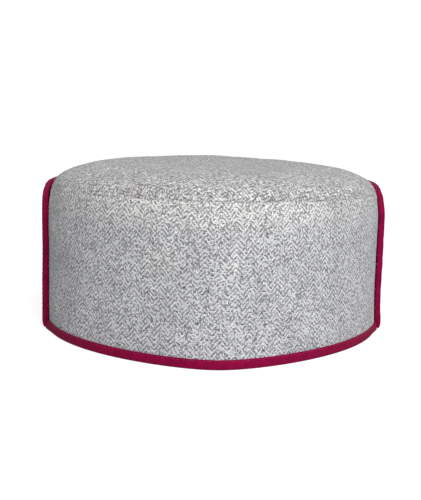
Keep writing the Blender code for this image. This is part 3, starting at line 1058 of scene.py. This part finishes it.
def fuzz_tree():
    """Geometry nodes that scatter short stray wool fibres over a cloth."""
    tree = bpy.data.node_groups.new("stray_wool_fibres", "GeometryNodeTree")
    tree.interface.new_socket("Cloth", in_out="INPUT", socket_type="NodeSocketGeometry")
    for label, kind, default in (
        ("Density", "NodeSocketFloat", 90000.0),
        ("Length", "NodeSocketFloat", 0.0016),
        ("Radius", "NodeSocketFloat", 0.00004),
        ("Lift", "NodeSocketFloat", 0.45),
        ("Lowest", "NodeSocketFloat", 0.0),
        ("Furthest", "NodeSocketFloat", 1.0),
        ("Seed", "NodeSocketInt", 7),
    ):
        tree.interface.new_socket(label, in_out="INPUT", socket_type=kind).default_value = default
    tree.interface.new_socket("Wool", in_out="INPUT", socket_type="NodeSocketMaterial")
    tree.interface.new_socket("Fibres", in_out="OUTPUT", socket_type="NodeSocketGeometry")
    wire = Wiring(tree)
    given = tree.nodes.new("NodeGroupInput")
    out = tree.nodes.new("NodeGroupOutput")
    place = wire.node("GeometryNodeInputPosition").outputs[0]
    apart = wire.node("ShaderNodeSeparateXYZ", {0: place})
    above = wire.math("GREATER_THAN", apart.outputs[2], given.outputs["Lowest"])
    near = wire.math("LESS_THAN", apart.outputs[1], given.outputs["Furthest"])
    spots = wire.node(
        "GeometryNodeDistributePointsOnFaces",
        {
            "Mesh": given.outputs["Cloth"],
            "Selection": wire.math("MULTIPLY", above, near),
            "Density": given.outputs["Density"],
            "Seed": given.outputs["Seed"],
        },
    )
    fibre = wire.node(
        "GeometryNodeMeshCone",
        {
            "Vertices": 3,
            "Side Segments": 1,
            "Radius Top": 0.0,
            "Radius Bottom": given.outputs["Radius"],
            "Depth": given.outputs["Length"],
        },
    )
    stray = wire.node("FunctionNodeRandomValue", data_type="FLOAT_VECTOR")
    wire.feed(stray.inputs[0], (-1.0, -1.0, -1.0))
    wire.feed(stray.inputs[1], (1.0, 1.0, 1.0))
    wire.feed(stray.inputs["Seed"], given.outputs["Seed"])
    lifted = wire.node(
        "ShaderNodeVectorMath", {0: spots.outputs["Normal"]}, operation="SCALE"
    )
    wire.feed(lifted.inputs["Scale"], given.outputs["Lift"])
    way = wire.node("ShaderNodeVectorMath", {0: stray.outputs[0], 1: lifted.outputs[0]}, operation="ADD")
    turned = wire.node("FunctionNodeAlignRotationToVector", {"Vector": way.outputs[0]}, axis="Z")
    size = wire.node("FunctionNodeRandomValue", data_type="FLOAT")
    wire.feed(size.inputs[2], 0.5)
    wire.feed(size.inputs[3], 1.5)
    wire.feed(size.inputs["Seed"], given.outputs["Seed"])
    laid = wire.node(
        "GeometryNodeInstanceOnPoints",
        {
            "Points": spots.outputs["Points"],
            "Instance": fibre.outputs["Mesh"],
            "Rotation": turned.outputs[0],
            "Scale": size.outputs[1],
        },
    )
    real = wire.node("GeometryNodeRealizeInstances", {"Geometry": laid.outputs[0]})
    painted = wire.node(
        "GeometryNodeSetMaterial", {"Geometry": real.outputs[0], "Material": given.outputs["Wool"]}
    )
    wire.feed(out.inputs[0], painted.outputs[0])
    return tree


def shared_tree(name, build):
    """The geometry node tree of this name, built once."""
    found = bpy.data.node_groups.get(name)
    return found if found else build()


def grown(name, base_mesh, tree, values):
    """A plain mesh made by a geometry node tree from a base mesh."""
    base = bpy.data.objects.new(name + "_base", base_mesh)
    bpy.context.scene.collection.objects.link(base)
    nodes = base.modifiers.new("growth", "NODES")
    nodes.node_group = tree
    for item in tree.interface.items_tree:
        if item.in_out == "INPUT" and item.name in values:
            nodes[item.identifier] = values[item.name]
    bpy.context.view_layer.update()
    evaluated = base.evaluated_get(bpy.context.evaluated_depsgraph_get())
    mesh = bpy.data.meshes.new_from_object(evaluated)
    mesh.name = name
    bpy.data.objects.remove(base)
    piece = bpy.data.objects.new(name, mesh)
    bpy.context.scene.collection.objects.link(piece)
    mesh.shade_smooth()
    return piece


def line_mesh(name, points):
    mesh = bpy.data.meshes.new(name)
    line = bmesh.new()
    corners = [line.verts.new(point) for point in points]
    for before, after in zip(corners, corners[1:]):
        line.edges.new((before, after))
    line.to_mesh(mesh)
    line.free()
    return mesh


def make_stitches(name, points, thread):
    tree = shared_tree("stitches_along_line", stitch_tree)
    piece = grown(name, line_mesh(name, points), tree, {"Thread": thread})
    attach(piece, "root")
    return piece


def make_fuzz(name, piece, values):
    """Stray fibres over a piece's outer face, which is its mesh before it gets its thickness."""
    made = grown(name, piece.data.copy(), shared_tree("stray_wool_fibres", fuzz_tree), values)
    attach(made, "root")
    return made


class TOPI_OT_crown(bpy.types.Operator):
    """Make the tweed crown"""

    bl_idname = "topi.crown"
    bl_label = "Crown"

    def execute(self, context):
        # The crown's tint is darker and browner than the wall's; its darkness is painted shade on the cap's top, and
        # its patch tint is darker still.
        material = tweed_material("crown_tweed", (0.86, 0.835, 0.80), (0.78, 0.74, 0.69), 0.55, 3.0, 1.0, 2.0)
        crown = settle(make_crown_cloth(material), "crown")
        declare_sheet(crown, "stretched", ["wall_cloth"])
        return {"FINISHED"}


class TOPI_OT_wall(bpy.types.Operator):
    """Make the tweed wall"""

    bl_idname = "topi.wall"
    bl_label = "Wall"

    def execute(self, context):
        # The wall's second tint is brighter: a painted highlight that grows from 61 to 73 mm up its cloth and stays
        # full above, on the shoulder that turns up to the light; random patches take it too.
        material = tweed_material("wall_tweed", (1.0, 1.0, 1.0), (1.10, 1.08, 1.02), 0.75, 0.5, 0.061, 0.073)
        wall = settle(make_wall_cloth(material), "side_wall")
        declare_sheet(wall, "stretched", ["hem_tape", "flap_cloth"])
        return {"FINISHED"}


class TOPI_OT_flap(bpy.types.Operator):
    """Make the turned-up flap"""

    bl_idname = "topi.flap"
    bl_label = "Front flap"

    def execute(self, context):
        material = velvet_material("flap_velvet", settings().maroon.velvet_colour)
        flap = settle(make_flap_cloth(material), "front_flap")
        declare_sheet(flap, "folded", ["wall_cloth"])
        return {"FINISHED"}


class TOPI_OT_bindings(bpy.types.Operator):
    """Make the tape round the hem and round the flap, with its stitches"""

    bl_idname = "topi.bindings"
    bl_label = "Bindings"

    def execute(self, context):
        shape = settings().shape
        look = settings().maroon
        hem = settle(make_hem_tape(tape_material("hem_tape", look.tape_colour)), "hem_binding")
        edge = settle(make_flap_tape(tape_material("flap_tape", look.tape_colour)), "flap_binding")
        thread = thread_material("maroon_thread", tuple(1.3 * channel for channel in look.tape_colour))
        from_edge = 0.0007
        reach = angle_along(shape.flap_end, -2 * shape.clearance - shape.tape_cloth)
        outset = shape.clearance + shape.tape_cloth
        hem_line = [
            (*plan(angle, outset), shape.tape_face - from_edge) for angle in steps(-reach, reach, 200)
        ]
        make_stitches("hem_stitches", hem_line, thread)
        side = shape.flap_cloth / 2 + shape.clearance + shape.tape_cloth
        inner = shape.clearance + shape.tape_cloth - shape.tape_face + from_edge
        upright_stops = [stop for stop in flap_edge_path() if stop[1] > shape.flap_fold]
        edge_line = [edge_spot(stop, inner, side) for stop in upright_stops]
        make_stitches("flap_stitches", edge_line, thread)
        declare_sheet(hem, "folded", ["wall_cloth"], with_pieces=["hem_stitches"])
        declare_sheet(edge, "folded", ["flap_cloth"], with_pieces=["flap_stitches"])
        return {"FINISHED"}


class TOPI_OT_fibres(bpy.types.Operator):
    """Scatter stray wool fibres over the tweed"""

    bl_idname = "topi.fibres"
    bl_label = "Stray fibres"

    def execute(self, context):
        material = bpy.data.materials.new("stray_wool")
        material.use_nodes = True
        wire = Wiring(material.node_tree)
        shader = material.node_tree.nodes["Principled BSDF"]
        place = wire.node("ShaderNodeTexCoord").outputs["Object"]
        tone = wire.cloud(place, 700.0, 2.0)
        colour = wire.mix(wire.ramp(tone, 0.38, 0.58), (0.30, 0.30, 0.31, 1.0), (0.85, 0.84, 0.83, 1.0))
        wire.feed(shader.inputs["Base Color"], colour)
        wire.feed(shader.inputs["Roughness"], wire.ramp(tone, 0.2, 0.8, 0.95, 0.75))
        shape = settings().shape
        free = 0.0015
        flap_end = plan(shape.flap_end, 0.0)[1]
        shown = {"Wool": material, "Seed": 11, "Lowest": shape.tape_face + free, "Furthest": flap_end - 2 * free}
        make_fuzz("wall_fibres", bpy.data.objects["wall_cloth"], shown)
        make_fuzz("crown_fibres", bpy.data.objects["crown_cloth"], {"Wool": material, "Seed": 12})
        return {"FINISHED"}


def area_light(name, place, aim, size, power):
    lamp = bpy.data.lights.new(name, "AREA")
    lamp.shape = "DISK"
    lamp.size = size
    lamp.energy = power
    holder = bpy.data.objects.new(name, lamp)
    holder.location = place
    holder.rotation_euler = (Vector(aim) - Vector(place)).to_track_quat("-Z", "Y").to_euler()
    bpy.context.scene.collection.objects.link(holder)


def on_sphere(azimuth, elevation, distance, aim):
    """Place this far from the aim; azimuth 0 is behind the cap, towards the camera, 90 its right."""
    level = math.cos(elevation)
    way = Vector((math.sin(azimuth) * level, -math.cos(azimuth) * level, math.sin(elevation)))
    return Vector(aim) + way * distance


class TOPI_OT_stage(bpy.types.Operator):
    """Make the pale floor, the soft lights and the camera"""

    bl_idname = "topi.stage"
    bl_label = "Stage"

    def execute(self, context):
        look = settings().stage
        bpy.ops.mesh.primitive_plane_add(size=8.0, location=(0, 0, -0.0002))
        floor = context.object
        floor.name = "floor"
        material = bpy.data.materials.new("pale_floor")
        material.use_nodes = True
        shader = material.node_tree.nodes["Principled BSDF"]
        wire = Wiring(material.node_tree)
        seen = wire.node("ShaderNodeLightPath").outputs["Is Camera Ray"]
        shader.inputs["Base Color"].default_value = (0.55, 0.55, 0.55, 1.0)
        shader.inputs["Roughness"].default_value = 0.9
        shader.inputs["Specular IOR Level"].default_value = 0.1
        shader.inputs["Emission Color"].default_value = (1.0, 1.0, 1.0, 1.0)
        wire.feed(shader.inputs["Emission Strength"], wire.math("MULTIPLY", seen, look.floor_glow))
        floor.data.materials.append(material)
        floor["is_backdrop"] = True

        aim = Vector((-0.0008, HEM_MIDDLE, 0.0412))
        eye = on_sphere(-look.turn, look.elevation, look.distance, aim)
        lens = bpy.data.cameras.new("photo_camera")
        lens.lens = look.lens
        lens.sensor_width = 36.0
        lens.clip_start = 0.01
        lens.clip_end = 30.0
        camera = bpy.data.objects.new("photo_camera", lens)
        camera.location = eye
        facing = (aim - eye).to_track_quat("-Z", "Y")
        camera.rotation_mode = "QUATERNION"
        camera.rotation_quaternion = facing @ Quaternion((0.0, 0.0, 1.0), look.roll)
        context.scene.collection.objects.link(camera)
        context.scene.camera = camera

        middle = (0.0, 0.0, 0.05)
        key_place = on_sphere(look.key_turn, look.key_elevation, 1.5, middle)
        area_light("key_light", key_place, middle, 0.9, look.key_power)
        world = bpy.data.worlds.new("even_sky")
        world.use_nodes = True
        sky = world.node_tree.nodes["Background"]
        sky.inputs[0].default_value = (1.0, 1.0, 1.0, 1.0)
        wire = Wiring(world.node_tree)
        seen = wire.node("ShaderNodeLightPath").outputs["Is Camera Ray"]
        wire.feed(sky.inputs[1], wire.blend(seen, look.world_strength, 1.2))
        context.scene.world = world
        context.scene.view_settings.view_transform = "Standard"
        return {"FINISHED"}


class TopiSettings(bpy.types.PropertyGroup):
    """All settings of the cap."""

    shape: PointerProperty(name="Shape", description="Sizes of the cloth", type=TopiShape)
    tweed: PointerProperty(name="Tweed", description="Herringbone cloth", type=TweedLook)
    maroon: PointerProperty(name="Maroon cloth", description="Tape, velvet and thread", type=TapeLook)
    stage: PointerProperty(name="Stage", description="Camera and lights", type=StageLook)


PIECES = (
    TOPI_OT_crown, TOPI_OT_wall, TOPI_OT_flap, TOPI_OT_bindings, TOPI_OT_fibres, TOPI_OT_stage,
)


class TOPI_PT_panel(bpy.types.Panel):
    """Lists the cap's pieces"""

    bl_label = "Himachali topi"
    bl_idname = "TOPI_PT_panel"
    bl_space_type = "VIEW_3D"
    bl_region_type = "UI"
    bl_category = "Topi"

    def draw(self, context):
        for piece in PIECES:
            self.layout.operator(piece.bl_idname)


CLASSES = (TopiShape, TweedLook, TapeLook, StageLook, TopiSettings, *PIECES, TOPI_PT_panel)


def register():
    for kind in CLASSES:
        bpy.utils.register_class(kind)
    bpy.types.Scene.topi = PointerProperty(type=TopiSettings)


def unregister():
    del bpy.types.Scene.topi
    for kind in reversed(CLASSES):
        bpy.utils.unregister_class(kind)


def corners(bounds):
    return [list(corner) for corner in bounds]


def main():
    solid_box = corners(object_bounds())
    register()
    bpy.ops.topi.crown()
    bpy.ops.topi.wall()
    bpy.ops.topi.flap()
    bpy.ops.topi.bindings()
    bpy.ops.topi.fibres()
    bpy.ops.topi.stage()
    {"cad": solid_box, "visual": corners(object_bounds())}


if __name__ == "__main__":
    main()
